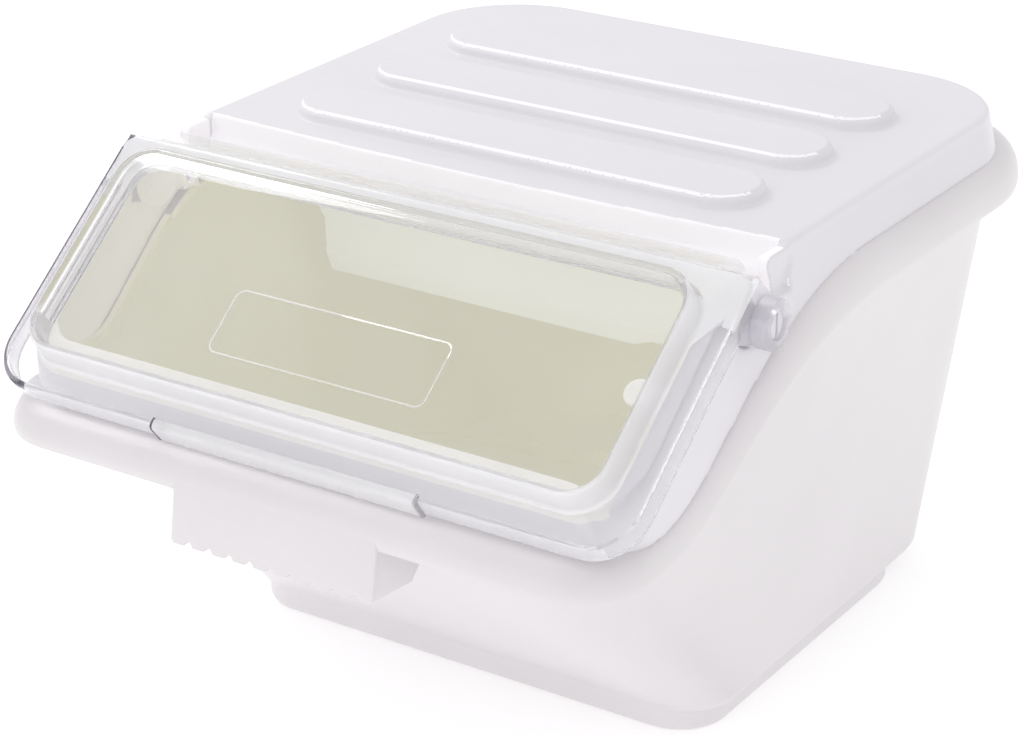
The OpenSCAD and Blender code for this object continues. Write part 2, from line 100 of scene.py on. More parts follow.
SLOT_FLOOR = 6.5


def lerp(a, b, t):
    return a + (b - a) * t


def smooth(t):
    t = min(1.0, max(0.0, t))
    return t * t * (3 - 2 * t)


def seam(y):
    """Height of the line where the cover meets the bin."""
    if y >= UPPER_Y + UPPER_LEN:
        return RIM_Z
    if y >= UPPER_Y - UPPER_LEN * math.cos(SLOPE):
        return RIM_Z - UPPER_R + math.sqrt(UPPER_R ** 2 - (y - UPPER_Y - UPPER_LEN) ** 2)
    if y >= LOWER_Y + LOWER_LEN * math.cos(SLOPE):
        return MID_Z + (y - MID_Y) * math.tan(SLOPE)
    if y >= LOWER_Y - LOWER_LEN:
        return LIP_Z + LOWER_R - math.sqrt(LOWER_R ** 2 - (y - LOWER_Y + LOWER_LEN) ** 2)
    return LIP_Z


def level(y):
    return (seam(y) - LIP_Z) / (RIM_Z - LIP_Z)


def edge_z(y):
    return seam(y) - lerp(DROP_FRONT, DROP_REAR, level(y))


def wall_half(z):
    return WALL_FOOT_W / 2 + DRAFT * (z - FOOT_H)


def wall_front(z):
    return WALL_Y0 - (z - FOOT_H) * math.tan(LEAN)


# ---------------------------------------------------------------- mesh helpers
def outline(w, y0, y1, r0, r1, arc=20, side=96):
    """Rectangle 2w wide from y0 to y1, corners of radius r0 in front and r1 behind."""
    half = [(w - r0 + r0 * math.cos(a), y0 + r0 + r0 * math.sin(a))
            for a in (math.radians(-90 + 90 * i / arc) for i in range(arc + 1))]
    half += [(w, lerp(y0 + r0, y1 - r1, i / side)) for i in range(1, side)]
    half += [(w - r1 + r1 * math.cos(a), y1 - r1 + r1 * math.sin(a))
             for a in (math.radians(90 * i / arc) for i in range(arc + 1))]
    return half + [(-x, y) for x, y in reversed(half)]


def ring(o, height, draw_in=None):
    """Outline o in space: its height is a function, and draw_in narrows it by its y."""
    out = []
    for x, y in o:
        d = draw_in(y) if draw_in else 0.0
        out.append((x - math.copysign(d, x) if x else x, y, height(x, y)))
    return out


def level_ring(o, z):
    return ring(o, lambda x, y: z)


def loft(rings):
    """Closed solid through rings of equal count, ends closed by level strips."""
    n, m = len(rings[0]), len(rings)
    faces = []
    for k in range(m - 1):
        for i in range(n):
            j = (i + 1) % n
            faces.append((k * n + i, k * n + j, k * n + n + j, k * n + n + i))
    top = (m - 1) * n
    for i in range(n // 2 - 1):
        faces.append((n - 1 - i, n - 2 - i, i + 1, i))
        faces.append((top + i, top + i + 1, top + n - 2 - i, top + n - 1 - i))
    return [v for r in rings for v in r], faces


def capped(n):
    """Faces of a solid between two outlines of n points each."""
    faces = [(i, (i + 1) % n, n + (i + 1) % n, n + i) for i in range(n)]
    return faces + [tuple(reversed(range(n))), tuple(range(n, 2 * n))]


def prism(profile, x0, x1):
    """Y-Z profile carried across from x0 to x1."""
    return [(x, y, z) for x in (x0, x1) for y, z in profile], capped(len(profile))


def slab(points, z0, z1):
    """X-Y outline raised from z0 to z1."""
    return [(x, y, z) for z in (z0, z1) for x, y in points], capped(len(points))


def turned(profile, steps=72):
    """Solid of revolution about X: profile is (x, radius) from end to end."""
    verts, faces = [], []
    for x, r in profile:
        for i in range(steps):
            a = 2 * math.pi * i / steps
            verts.append((x, r * math.cos(a), r * math.sin(a)))
    m = len(profile)
    for k in range(m - 1):
        for i in range(steps):
            j = (i + 1) % steps
            faces.append((k * steps + i, k * steps + j, (k + 1) * steps + j, (k + 1) * steps + i))
    faces.append(tuple(reversed(range(steps))))
    faces.append(tuple(range((m - 1) * steps, m * steps)))
    return verts, faces


def moved(shape, matrix):
    verts, faces = shape
    return [tuple(matrix @ Vector(v)) for v in verts], faces


def mirrored(shape):
    verts, faces = shape
    return [(-x, y, z) for x, y, z in verts], [tuple(reversed(f)) for f in faces]


def make(name, shape):
    """Mesh object in metres from a shape in millimetres, normals outward."""
    verts, faces = shape
    mesh = bpy.data.meshes.new(name)
    mesh.from_pydata([(x * MM, y * MM, z * MM) for x, y, z in verts], [], faces)
    bm = bmesh.new()
    bm.from_mesh(mesh)
    bmesh.ops.remove_doubles(bm, verts=bm.verts, dist=1e-7)
    bmesh.ops.recalc_face_normals(bm, faces=bm.faces)
    bm.to_mesh(mesh)
    bm.free()
    obj = bpy.data.objects.new(name, mesh)
    bpy.context.collection.objects.link(obj)
    return obj


def bake(obj):
    """Applies the modifiers to the object's own mesh."""
    bpy.context.view_layer.update()
    graph = bpy.context.evaluated_depsgraph_get()
    mesh = bpy.data.meshes.new_from_object(obj.evaluated_get(graph))
    obj.modifiers.clear()
    old = obj.data
    obj.data = mesh
    bpy.data.meshes.remove(old)
    return obj


def combine(obj, operation, *shapes):
    """Boolean of obj with each shape; the helpers are removed afterwards."""
    for shape in shapes:
        tool = shape if isinstance(shape, bpy.types.Object) else make("tool", shape)
        mod = obj.modifiers.new("b", "BOOLEAN")
        mod.operation = operation
        mod.solver = "MANIFOLD"
        mod.object = tool
        bake(obj)
        data = tool.data
        bpy.data.objects.remove(tool)
        bpy.data.meshes.remove(data)
    return obj


def soften(obj, voxel, passes, ratio):
    """Rounds every edge: voxel remesh, smoothing, then fewer faces."""
    mod = obj.modifiers.new("r", "REMESH")
    mod.mode = "VOXEL"
    mod.voxel_size = voxel * MM
    mod.adaptivity = 0.0
    mod = obj.modifiers.new("s", "SMOOTH")
    mod.factor = 0.5
    mod.iterations = passes
    mod = obj.modifiers.new("d", "DECIMATE")
    mod.ratio = ratio
    return bake(obj)


def bevel(obj, width, segments, angle):
    """Rounds the edges that turn by more than angle degrees."""
    mod = obj.modifiers.new("bevel", "BEVEL")
    mod.width = width * MM
    mod.segments = segments
    mod.limit_method = "ANGLE"
    mod.angle_limit = math.radians(angle)
    mod.use_clamp_overlap = True
    return bake(obj)


def smooth_faces(obj, angle=180):
    """Smooth shading, with the edges that turn by more than angle degrees kept sharp."""
    for p in obj.data.polygons:
        p.use_smooth = True
    bm = bmesh.new()
    bm.from_mesh(obj.data)
    for e in bm.edges:
        if len(e.link_faces) == 2 and e.calc_face_angle(0) > math.radians(angle):
            e.smooth = False
    bm.to_mesh(obj.data)
    bm.free()
    return obj


def join(name, *objs):
    """One object from the meshes of several, which are removed."""
    bm = bmesh.new()
    for o in objs:
        bm.from_mesh(o.data)
    mesh = bpy.data.meshes.new(name)
    bm.to_mesh(mesh)
    bm.free()
    out = bpy.data.objects.new(name, mesh)
    bpy.context.collection.objects.link(out)
    for o in objs:
        data = o.data
        bpy.data.objects.remove(o)
        bpy.data.meshes.remove(data)
    return out


# ---------------------------------------------------------------- materials
def plastic(name, low, high, rough, grain, bump, painted_glow=None):
    """Moulded plastic: faint cloudy tone, fine grain and slow waviness; painted_glow, if given, is an
    emission that paints light into its shaded faces.
    """
    mat = bpy.data.materials.new(name)
    mat.use_nodes = True
    tree = mat.node_tree
    shader = tree.nodes["Principled BSDF"]
    coords = tree.nodes.new("ShaderNodeTexCoord")

    def noise(scale, detail, roughness=0.5):
        n = tree.nodes.new("ShaderNodeTexNoise")
        n.inputs["Scale"].default_value = scale
        n.inputs["Detail"].default_value = detail
        n.inputs["Roughness"].default_value = roughness
        tree.links.new(coords.outputs["Object"], n.inputs["Vector"])
        return n

    cloud = noise(14, 5)
    ramp = tree.nodes.new("ShaderNodeValToRGB")
    ramp.color_ramp.elements[0].position = 0.3
    ramp.color_ramp.elements[1].position = 0.7
    ramp.color_ramp.elements[0].color = (*low, 1)
    ramp.color_ramp.elements[1].color = (*high, 1)
    tree.links.new(cloud.outputs["Fac"], ramp.inputs["Fac"])
    tree.links.new(ramp.outputs["Color"], shader.inputs["Base Color"])
    smear = noise(38, 6, 0.6)
    span = tree.nodes.new("ShaderNodeMapRange")
    span.inputs["To Min"].default_value = rough[0]
    span.inputs["To Max"].default_value = rough[1]
    tree.links.new(smear.outputs["Fac"], span.inputs["Value"])
    tree.links.new(span.outputs["Result"], shader.inputs["Roughness"])
    fine = noise(grain, 3)
    wave = noise(22, 2)
    first = tree.nodes.new("ShaderNodeBump")
    first.inputs["Strength"].default_value = bump
    first.inputs["Distance"].default_value = 0.0001
    tree.links.new(fine.outputs["Fac"], first.inputs["Height"])
    second = tree.nodes.new("ShaderNodeBump")
    second.inputs["Strength"].default_value = 0.12
    second.inputs["Distance"].default_value = 0.0004
    tree.links.new(wave.outputs["Fac"], second.inputs["Height"])
    tree.links.new(first.outputs["Normal"], second.inputs["Normal"])
    tree.links.new(second.outputs["Normal"], shader.inputs["Normal"])
    shader.inputs["IOR"].default_value = 1.49
    shader.inputs["Specular IOR Level"].default_value = 0.42
    if painted_glow:  # painted light: the emission lifts shaded faces, standing in for daylight reaching through the thin milky wall
        shader.inputs["Emission Color"].default_value = (*painted_glow[0], 1)
        shader.inputs["Emission Strength"].default_value = painted_glow[1]
    return mat


def clear_plastic(name, alpha, haze=(0.0, 0.03), tone=(0.98, 0.985, 0.99), rough=(0.01, 0.05)):
    """Clear plastic with faint smears; haze is the share of milky scatter, alpha below 1 lets light by."""
    mat = bpy.data.materials.new(name)
    mat.use_nodes = True
    tree = mat.node_tree
    shader = tree.nodes["Principled BSDF"]
    coords = tree.nodes.new("ShaderNodeTexCoord")
    smear = tree.nodes.new("ShaderNodeTexNoise")
    smear.inputs["Scale"].default_value = 26
    smear.inputs["Detail"].default_value = 6
    tree.links.new(coords.outputs["Object"], smear.inputs["Vector"])

    def spread(low, high, socket):
        span = tree.nodes.new("ShaderNodeMapRange")
        span.inputs["From Min"].default_value = 0.35
        span.inputs["From Max"].default_value = 0.75
        span.inputs["To Min"].default_value = low
        span.inputs["To Max"].default_value = high
        tree.links.new(smear.outputs["Fac"], span.inputs["Value"])
        tree.links.new(span.outputs["Result"], shader.inputs[socket])

    spread(rough[0], rough[1], "Roughness")
    spread(1 - haze[0], 1 - haze[1], "Transmission Weight")
    tint = tree.nodes.new("ShaderNodeValToRGB")
    tint.color_ramp.elements[0].color = (*(c - 0.01 for c in tone), 1)
    tint.color_ramp.elements[1].color = (*tone, 1)
    tree.links.new(smear.outputs["Fac"], tint.inputs["Fac"])
    tree.links.new(tint.outputs["Color"], shader.inputs["Base Color"])
    wave = tree.nodes.new("ShaderNodeTexNoise")
    wave.inputs["Scale"].default_value = 12
    wave.inputs["Detail"].default_value = 1
    tree.links.new(coords.outputs["Object"], wave.inputs["Vector"])
    bump = tree.nodes.new("ShaderNodeBump")
    bump.inputs["Strength"].default_value = 0.03
    bump.inputs["Distance"].default_value = 0.0003
    tree.links.new(wave.outputs["Fac"], bump.inputs["Height"])
    tree.links.new(bump.outputs["Normal"], shader.inputs["Normal"])
    shader.inputs["IOR"].default_value = 1.45
    shader.inputs["Alpha"].default_value = alpha
    return mat


# painted light: every glow given below is an emission that brightens faces left in shade, not a lamp
PAINTED_GLOW_TINT = (1.0, 0.985, 1.0)
WHITE = plastic("bin_white", (0.690, 0.662, 0.682), (0.715, 0.687, 0.707), (0.30, 0.38), 900, 0.25,
                (PAINTED_GLOW_TINT, 0.05))
# painted shade and light: the beige tint stands in for the interreflected shade inside the white bin, and
# the glow lifts it
INNER_PAINTED_SHADE_GLOW = plastic("bin_inner_painted_shade_glow", (0.760, 0.745, 0.622), (0.790, 0.775, 0.652), (0.42, 0.52), 900, 0.25,
                ((1.0, 1.0, 0.985), 0.156))
COVER = plastic("cover_white", (0.740, 0.720, 0.757), (0.765, 0.745, 0.782), (0.30, 0.38), 900, 0.20,
                (PAINTED_GLOW_TINT, 0.055))
# painted light: a brighter, glowing white lifts the shade on the step face and the hinge cheeks
COVER_STEP_PAINTED_LIGHT = plastic("cover_step_painted_light", (0.82, 0.80, 0.835), (0.845, 0.825, 0.86), (0.28, 0.36), 900, 0.20,
                     (PAINTED_GLOW_TINT, 0.21))
# painted highlight: a brighter, glowing white on the rounded edges of step, bead and ribs
COVER_EDGE_PAINTED_HIGHLIGHT = plastic("cover_edge_painted_highlight", (0.86, 0.845, 0.875), (0.885, 0.87, 0.90), (0.22, 0.28), 900, 0.20,
                     (PAINTED_GLOW_TINT, 0.17))
# painted light: a glow lifts the land that is shaded under the lid
COVER_LAND_PAINTED_LIGHT = plastic("cover_land_painted_light", (0.76, 0.74, 0.777), (0.785, 0.765, 0.802), (0.30, 0.38), 900, 0.20,
                     (PAINTED_GLOW_TINT, 0.14))
# painted shade and light: beige tint for the interreflected shade inside, with a glow that lifts it
COVER_IN_PAINTED_SHADE_GLOW = plastic("cover_inner_painted_shade_glow", (0.78, 0.77, 0.71), (0.81, 0.80, 0.74), (0.40, 0.50), 900, 0.22,
                   ((0.98, 0.97, 1.0), 0.20))
# painted shade and light: beige tint for the interreflected shade inside the bin, with a glow that lifts it
BAFFLE_PAINTED_SHADE_GLOW = plastic("baffle_painted_shade_glow", (0.79, 0.79, 0.755), (0.82, 0.82, 0.785), (0.40, 0.50), 900, 0.25,
                 ((0.99, 1.0, 1.0), 0.21))
PIN = plastic("pin_white", (0.66, 0.64, 0.69), (0.70, 0.68, 0.73), (0.30, 0.40), 1200, 0.2, (PAINTED_GLOW_TINT, 0.06))
CLEAR = clear_plastic("clear_lid", 1.0, (0.0, 0.02), (0.985, 0.985, 0.985), (0.0, 0.015))
# painted light: haze lightens the front band over the shaded land beneath
CLEAR_BAND_PAINTED_LIGHT = clear_plastic("clear_lid_band_painted_light", 0.92, (0.10, 0.16), (0.99, 0.985, 1.0))
# painted shade: a darker tone on the side bands of the flange
CLEAR_SIDE_PAINTED_SHADE = clear_plastic("clear_lid_side_band_painted_shade", 0.95, (0.09, 0.14), (0.94, 0.93, 0.95))
# painted light: heavy haze whitens the dark refraction in the turned-down front edge
CLEAR_FRONT_PAINTED_LIGHT = clear_plastic("clear_lid_front_edge_painted_light", 0.9, (0.34, 0.42), (0.985, 0.98, 1.0), (0.02, 0.06))
# painted reflection: milky white on the window's walls and rear band, standing in for the bright
# surroundings the clear plastic refracts and reflects
CLEAR_WALL_PAINTED_REFLECTION = clear_plastic("clear_lid_window_wall_painted_reflection", 0.9, (0.58, 0.66), (0.965, 0.955, 0.985), (0.06, 0.12))
CLEAR_REAR_PAINTED_REFLECTION = clear_plastic("clear_lid_rear_band_painted_reflection", 0.92, (0.60, 0.68), (0.975, 0.97, 0.99), (0.03, 0.08))
CLEAR_BAR = clear_plastic("clear_lid_bar", 0.95, (0.36, 0.44), (0.99, 0.985, 1.0), (0.04, 0.08))
# painted shade: a darker lavender tone on the clear hub
CLEAR_HUB_PAINTED_SHADE = clear_plastic("clear_lid_hub_painted_shade", 0.85, (0.38, 0.45), (0.90, 0.88, 0.93), (0.06, 0.12))
CLEAR_APRON = clear_plastic("clear_lid_apron", 0.22, (0.10, 0.16))
# painted shade: near-black and grey tints draw the dark refraction lines on the lid's left front corner and
# at the finger bar's ends
EDGE_DARK = clear_plastic("clear_lid_edge_shade", 1.0, (0.0, 0.03), (0.10, 0.09, 0.12))
EDGE_DARK.node_tree.nodes["Principled BSDF"].inputs["Specular IOR Level"].default_value = 0.05
EDGE_GREY_SHADE = clear_plastic("clear_lid_edge_grey_shade", 1.0, (0.0, 0.03), (0.62, 0.61, 0.65))
BORDER = clear_plastic("clear_lid_border", 0.45, (0.80, 0.88), (0.985, 0.985, 0.985), (0.2, 0.3))


def finish_piece(obj, body, slot, node, *materials):
    """Puts the piece on its body in place of its node, with its first material on every face."""
    obj.data.materials.clear()
    for material in materials:
        obj.data.materials.append(material)
    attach(obj, body)
    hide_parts(node)
    return obj


# ---------------------------------------------------------------- bin
def rim_outline(d):
    return outline(RIM_W / 2 - d, LIP_Y + d, REAR_Y - d, RIM_FRONT_R - d, RIM_REAR_R - d)


def skirt_outline(d):
    return outline(COVER_W / 2 + COVER_FLARE - d, COVER_Y0 + d, COVER_Y1 - d,
                   COVER_FRONT_R - d, COVER_REAR_R - d)


def wall_foot_outline(d):
    return outline(WALL_FOOT_W / 2 - d, WALL_Y0 + d, WALL_Y1 - 3.5 - d, FOOT_R - d / 2, 41 - d)


def foot_outline(d):
    return outline(FOOT_W / 2 - d, FOOT_Y0 + d, FOOT_Y1 - d, FOOT_R - d / 2, FOOT_R - d / 2)


RIM_NARROW = (RIM_W - LIP_W) / 2
SKIRT_NARROW = COVER_FLARE * 0.6
UPSTAND_IN = 5 * COVER_FLARE / (COVER_Z - COVER_T - 3 - RIM_Z)
WALL_TOP_FRONT = wall_front(LIP_Z - DROP_FRONT - 2.2)


def wall_top_outline(d, front_d):
    """Top line of the walls: its front corners are wider than the rim's."""
    w, y0, r = WALL_TOP_HALF - d, WALL_TOP_FRONT + front_d, WALL_FRONT_R - d
    out = []
    for x, y in outline(w, y0, WALL_Y1 - d, RIM_FRONT_R - d, RIM_REAR_R - 4 - d):
        inside = min(r, max(0.0, r - (y - y0)))
        out.append((math.copysign(min(abs(x), w - r + math.sqrt(r * r - inside * inside)), x), y))
    return out


def wall_top_z(x, y):
    return edge_z(y) - 2.2 + 9 * min(1, max(0, (y - WALL_Y1 + 60) / 60))


def shoulder(deg):
    """Ring of the rolled rim, from its edge at 0 degrees to the cover's seat at 90."""
    a = math.radians(deg)
    t = 1 - math.cos(a)
    out = []
    for (ex, ey), (sx, sy) in zip(rim_outline(0), skirt_outline(0)):
        y = lerp(ey, sy, t)
        ex -= math.copysign(RIM_NARROW * (1 - level(ey)), ex)
        sx -= math.copysign(SKIRT_NARROW * (1 - level(sy)), sx)
        out.append((lerp(ex, sx, t), y, lerp(edge_z(y), seam(y) - 0.3, math.sin(a))))
    return out


def bin_shell():
    """Foot, plinth, walls, rolled rim and upstand, then back down the inner side."""
    seat = lambda x, y: seam(y) - 0.3
    top = lambda x, y: seam(y) + lerp(0.5, 5, smooth((abs(y - TOP_Y + 9) - 18) / 2))
    inner_top = lambda x, y: edge_z(y) - 1
    skirt_in = lambda y: SKIRT_NARROW * (1 - level(y))
    rim_in = lambda y: RIM_NARROW * (1 - level(y))
    lean_in = lambda f: (lambda y: WALL_TOP_HALF - wall_half(f(0, y)))
    inset = COVER_T + 0.8
    rings = [
        level_ring(foot_outline(2.5), 0),
        level_ring(foot_outline(0.7), 0.7),
        level_ring(foot_outline(0), 2.5),
        level_ring(foot_outline(0), FOOT_H - 1.8),
        level_ring(wall_foot_outline(1.5), FOOT_H - 1.2),
        level_ring(wall_foot_outline(0), FOOT_H + 1.4),
        ring(wall_top_outline(0, 0), wall_top_z, lean_in(wall_top_z)),
        ring(rim_outline(0.5), lambda x, y: edge_z(y) - 2.2, rim_in),
    ]
    rings += [shoulder(a) for a in range(0, 91, 6)]
    rings += [
        ring(skirt_outline(inset), seat, skirt_in),
        ring(skirt_outline(inset + UPSTAND_IN), top, skirt_in),
        ring(skirt_outline(inset + UPSTAND_IN + 2.4), top, skirt_in),
        ring(skirt_outline(inset + 2.4), lambda x, y: seat(x, y) - WALL, skirt_in),
        ring(wall_top_outline(WALL, WALL / math.cos(LEAN) + 0.1), inner_top, lean_in(inner_top)),
        level_ring(wall_foot_outline(WALL), FOOT_H + WALL),
        level_ring(foot_outline(WALL), FOOT_H + 0.5),
        level_ring(foot_outline(WALL), WALL),
    ]
    obj = make("bin_shell", loft(rings))
    bevel(obj, 1.1, 3, 24)
    return obj


def pull_plate():
    """Handle plate with rounded notches along its lower edge, and its two end walls."""
    top, low, half = LIP_Z - DROP_FRONT + 1, LIP_Z - DROP_FRONT + 1 - PULL_H, PULL_HALF
    edge = [(-half, top), (-half, low + 1.2), (-half + 1.2, low)]
    for i in range(NOTCHES):
        cx = (i - (NOTCHES - 1) / 2) * NOTCH_PITCH
        for s in range(13):
            a = math.radians(180 - 15 * s)
            edge.append((cx + NOTCH_R * math.cos(a), low + NOTCH_R * math.sin(a)))
    edge += [(half - 1.2, low), (half, low + 1.2), (half, top)]
    verts = [(x, LIP_Y - FLARE * (top - z) / PULL_H + t, z) for t in (0.0, PULL_T) for x, z in edge]
    plate = bevel(make("plate", (verts, capped(len(edge)))), 0.6, 3, 30)
    knee = low + 5
    side = [(LIP_Y + 1.5, top), (LIP_Y - FLARE + 1.5, low + 0.6), (wall_front(knee) - 5, low - 1.6),
            (wall_front(knee) + 2, knee), (wall_front(top) + 2, top)]
    mid = half - PULL_END_IN
    ends = [bevel(make("end", prism(side, x - 1.5, x + 1.5)), 0.6, 2, 30) for x in (-mid, mid)]
    return [plate, *ends]


shell = bin_shell()
handle = pull_plate()
bin_piece = join("bin_shell_and_handle", shell, *handle)
smooth_faces(bin_piece, 40)
finish_piece(bin_piece, "bin", "bin_plastic", "bin_body", WHITE, INNER_PAINTED_SHADE_GLOW)


def inside_bin(p):
    """True for faces of the bin's inner side, below its rim."""
    x, y, z = (c / MM for c in p.center)
    nx, ny, nz = p.normal
    if z < 2.0:
        return False
    mid_y = lerp(30, -20, min(1, max(0, (z - 100) / 100)))
    toward = ny * (mid_y - y) - nx * x
    if z > seam(y) + 0.3:
        return True
    if abs(nx) + abs(ny) < 0.2:
        return nz > 0.5 and z < 20
    return toward > 0 and abs(x) < wall_half(z) - 1.2 and y < WALL_Y1 - 1.5 and y > wall_front(z) + 2


# the bin's inner faces take the painted beige shade and glow
for p in bin_piece.data.polygons:
    if inside_bin(p):
        p.material_index = 1


# ---------------------------------------------------------------- cover
def land_z(y):
    """Height of the land under the closed lid."""
    return LID_BACK_Z + (y - LID_Y) * math.tan(SLOPE) - LAND_DROP / math.cos(SLOPE)


def cover_profile():
    """Side line of the cover: land, collar, gutter, bead, step and top."""
    pts = [(LIP_Y - 200, land_z(LIP_Y - 200))]
    start = math.pi / 2 + SLOPE
    for i in range(25):
        a = start * (1 - i / 24)
        pts.append((AXIS_Y + COLLAR_R * math.cos(a), AXIS_Z + COLLAR_R * math.sin(a)))
    pts += [
        (AXIS_Y + COLLAR_R, AXIS_Z - SLOT_FLOOR), (GUTTER_Y, AXIS_Z - SLOT_FLOOR),
        (GUTTER_Y, GUTTER_Z), (TOP_Y - BEAD_D, GUTTER_Z), (TOP_Y - BEAD_D, COVER_Z - STEP_H - 2.4),
        (TOP_Y - BEAD_D + 2.4, COVER_Z - STEP_H), (TOP_Y, COVER_Z - STEP_H), (TOP_Y, COVER_Z),
        (REAR_Y + 200, COVER_Z),
        (REAR_Y + 200, -200), (LIP_Y - 200, -200),
    ]
    return pts


def shrunk(pts, d):
    """Closed polygon moved inward by d, corners mitred; points run clockwise seen along -X."""
    area = sum(a[0] * b[1] - b[0] * a[1] for a, b in zip(pts, pts[1:] + pts[:1]))
    s = -1.0 if area < 0 else 1.0
    out = []
    n = len(pts)
    for i in range(n):
        a, b, c = (Vector(pts[k % n]) for k in (i - 1, i, i + 1))
        u, v = (b - a).normalized(), (c - b).normalized()
        nu, nv = Vector((-u.y, u.x)) * s, Vector((-v.y, v.x)) * s
        m = nu + nv
        out.append(tuple(b + m * (d / max(0.2, 1 + nu.dot(nv)))))
    return out


def cover_block(d, low, high):
    """Skirt and hood drawn in by d, reaching low under the seam, with a rounded top at high."""
    w = COVER_W / 2
    top = lambda k: outline(w - d - k, COVER_Y0 + 2 + d + k, COVER_Y1 - 1.5 - d - k,
                            COVER_FRONT_R - d - k, COVER_TOP_R - d - k)
    skirt_in = lambda y: SKIRT_NARROW * (1 - level(y))
    rings = []
    if low > 0:
        rings.append(ring(skirt_outline(d), lambda x, y: seam(y) - low, skirt_in))
    rings.append(ring(skirt_outline(d), lambda x, y: seam(y) - (0.8 if low == 0 else 0), skirt_in))
    for a in range(0, 91, 15):
        c, s = math.cos(math.radians(a)), math.sin(math.radians(a))
        k = 3 * (1 - c)
        rings.append(level_ring(top(k), high - 3 + 3 * s))
    return loft(rings)


def rib(i, z0, z1, d0, d1):
    """Long rounded bar across the hood."""
    y = TOP_Y + RIB_SET + i * RIB_PITCH
    out = []
    for z, d in ((z0, d0), (z1, d1)):
        r = RIB_W / 2 - d
        half = (RIB_L - RIB_W) / 2
        pts = []
        for k in range(33):
            a = math.radians(-90 + 180 * k / 32)
            pts.append((half + r * math.cos(a), y + r * math.sin(a)))
        for k in range(33):
            a = math.radians(90 + 180 * k / 32)
            pts.append((-half + r * math.cos(a), y + r * math.sin(a)))
        out.append([(x, yy, z) for x, yy in pts])
    return out[0] + out[1], capped(len(out[0]))


def at_axis(shape):
    return moved(shape, Matrix.Translation((0, AXIS_Y, AXIS_Z)))


def box(x0, x1, y0, y1, z0, z1):
    """Block between two corners."""
    return slab([(x0, y0), (x1, y0), (x1, y1), (x0, y1)], z0, z1)


def cover_piece():
    """Hood, ribs, step with its bead, land round the mouth, guides, tab and hinge walls."""
    body = make("cover_shell", cover_block(0, 0, COVER_Z))
    combine(body, "INTERSECT", prism(cover_profile(), -RIM_W, RIM_W))
    combine(body, "UNION", *[rib(i, COVER_Z - 1, COVER_Z + RIB_H - 1.6, 0, 0) for i in range(3)])
    combine(body, "UNION", *[rib(i, COVER_Z - 1, COVER_Z + RIB_H, 1.6, 1.6) for i in range(3)])
    hollow = make("hollow", cover_block(COVER_T, 5, COVER_Z - COVER_T))
    combine(hollow, "INTERSECT", prism(shrunk(cover_profile(), COVER_T), -RIM_W, RIM_W))
    combine(hollow, "UNION", *[rib(i, COVER_Z - COVER_T - 1, COVER_Z - COVER_T + RIB_H,
                                   COVER_T + 0.5, COVER_T + 0.5) for i in range(3)])
    combine(body, "DIFFERENCE", hollow)
    mouth = outline(COVER_W / 2 - LAND_W, COVER_Y0 + LAND_W + 2, GUTTER_Y, 16, 2, 12, 4)
    combine(body, "DIFFERENCE", slab(mouth, LIP_Z + 5, COVER_Z + 60))
    inner = COVER_W / 2 - LAND_W
    combine(body, "DIFFERENCE", box(-inner, inner, GUTTER_Y - 1, GUTTER_Y + COVER_T + 0.6,
                                    AXIS_Z - SLOT_FLOOR - COVER_T - 3, GUTTER_Z - COVER_T))
    half = COVER_W / 2 - 3
    r = (half * half + STEP_BOW ** 2) / (2 * STEP_BOW)
    bow = [(lerp(-half, half, k / 80), TOP_Y - STEP_BOW + r
            - math.sqrt(r * r - lerp(-half, half, k / 80) ** 2)) for k in range(81)]
    combine(body, "UNION", slab(bow + [(half, TOP_Y + 0.5), (-half, TOP_Y + 0.5)],
                                COVER_Z - STEP_H, COVER_Z))
    for s in (-1, 1):
        for k in (-1, 1):
            cy = BAFFLE_Y + BAFFLE_T / 2 + k * (BAFFLE_T / 2 + GUIDE_GAP + GUIDE_T / 2)
            cx = s * (BAFFLE_W / 2 - 3)
            combine(body, "UNION", box(cx - GUIDE_L / 2, cx + GUIDE_L / 2, cy - GUIDE_T / 2,
                                       cy + GUIDE_T / 2, COVER_Z - COVER_T - GUIDE_H,
                                       COVER_Z - COVER_T + 1))
    root, tip = COVER_W / 2, COVER_W / 2 - LAND_W - TAB_OUT
    tab = [(root, -TAB_R), (root, TAB_R)]
    tab += [(tip + TAB_R * math.cos(a), TAB_R * math.sin(a))
            for a in (math.radians(90 + 180 * k / 24) for k in range(25))]
    place = Matrix.Translation((0, TAB_Y, land_z(TAB_Y))) @ Matrix.Rotation(SLOPE, 4, "X")
    combine(body, "UNION", moved(slab(tab, -2.4, -0.2), place))
    for flip in (False, True):
        side = mirrored if flip else (lambda s: s)
        seat = at_axis(turned([(HINGE_WALL_IN, SEAT_R), (POCKET_X, SEAT_R)], 96))
        combine(body, "UNION", side(seat))
        r = SWING_R + 0.9
        cheek = [(TOP_Y, CHEEK_Z), (TOP_Y, GUTTER_Z - 1)]
        cheek += [(AXIS_Y + r * math.cos(a), AXIS_Z + r * math.sin(a))
                  for a in (math.radians(2 + 4 * k) for k in range(9))]
        cheek += [(AXIS_Y + 17.2, CHEEK_Z - 2.6), (AXIS_Y + 17.8, CHEEK_Z - 1.1),
                  (AXIS_Y + 19, CHEEK_Z - 0.2), (AXIS_Y + 20.5, CHEEK_Z)]
        combine(body, "UNION", side(prism(cheek, POCKET_X - CHEEK_T, POCKET_X - 0.05)))
        combine(body, "DIFFERENCE", side(at_axis(turned([(POCKET_X, HUB_R + 1),
                                                         (POCKET_X + 30, HUB_R + 1)], 96))))
    soften(body, 0.8, 4, 0.7)
    body.name = "cover_shell"
    return body


cover = cover_piece()
smooth_faces(cover)
finish_piece(cover, "cover", "cover_plastic", "cover", COVER, COVER_IN_PAINTED_SHADE_GLOW, COVER_STEP_PAINTED_LIGHT, COVER_EDGE_PAINTED_HIGHLIGHT, COVER_LAND_PAINTED_LIGHT)


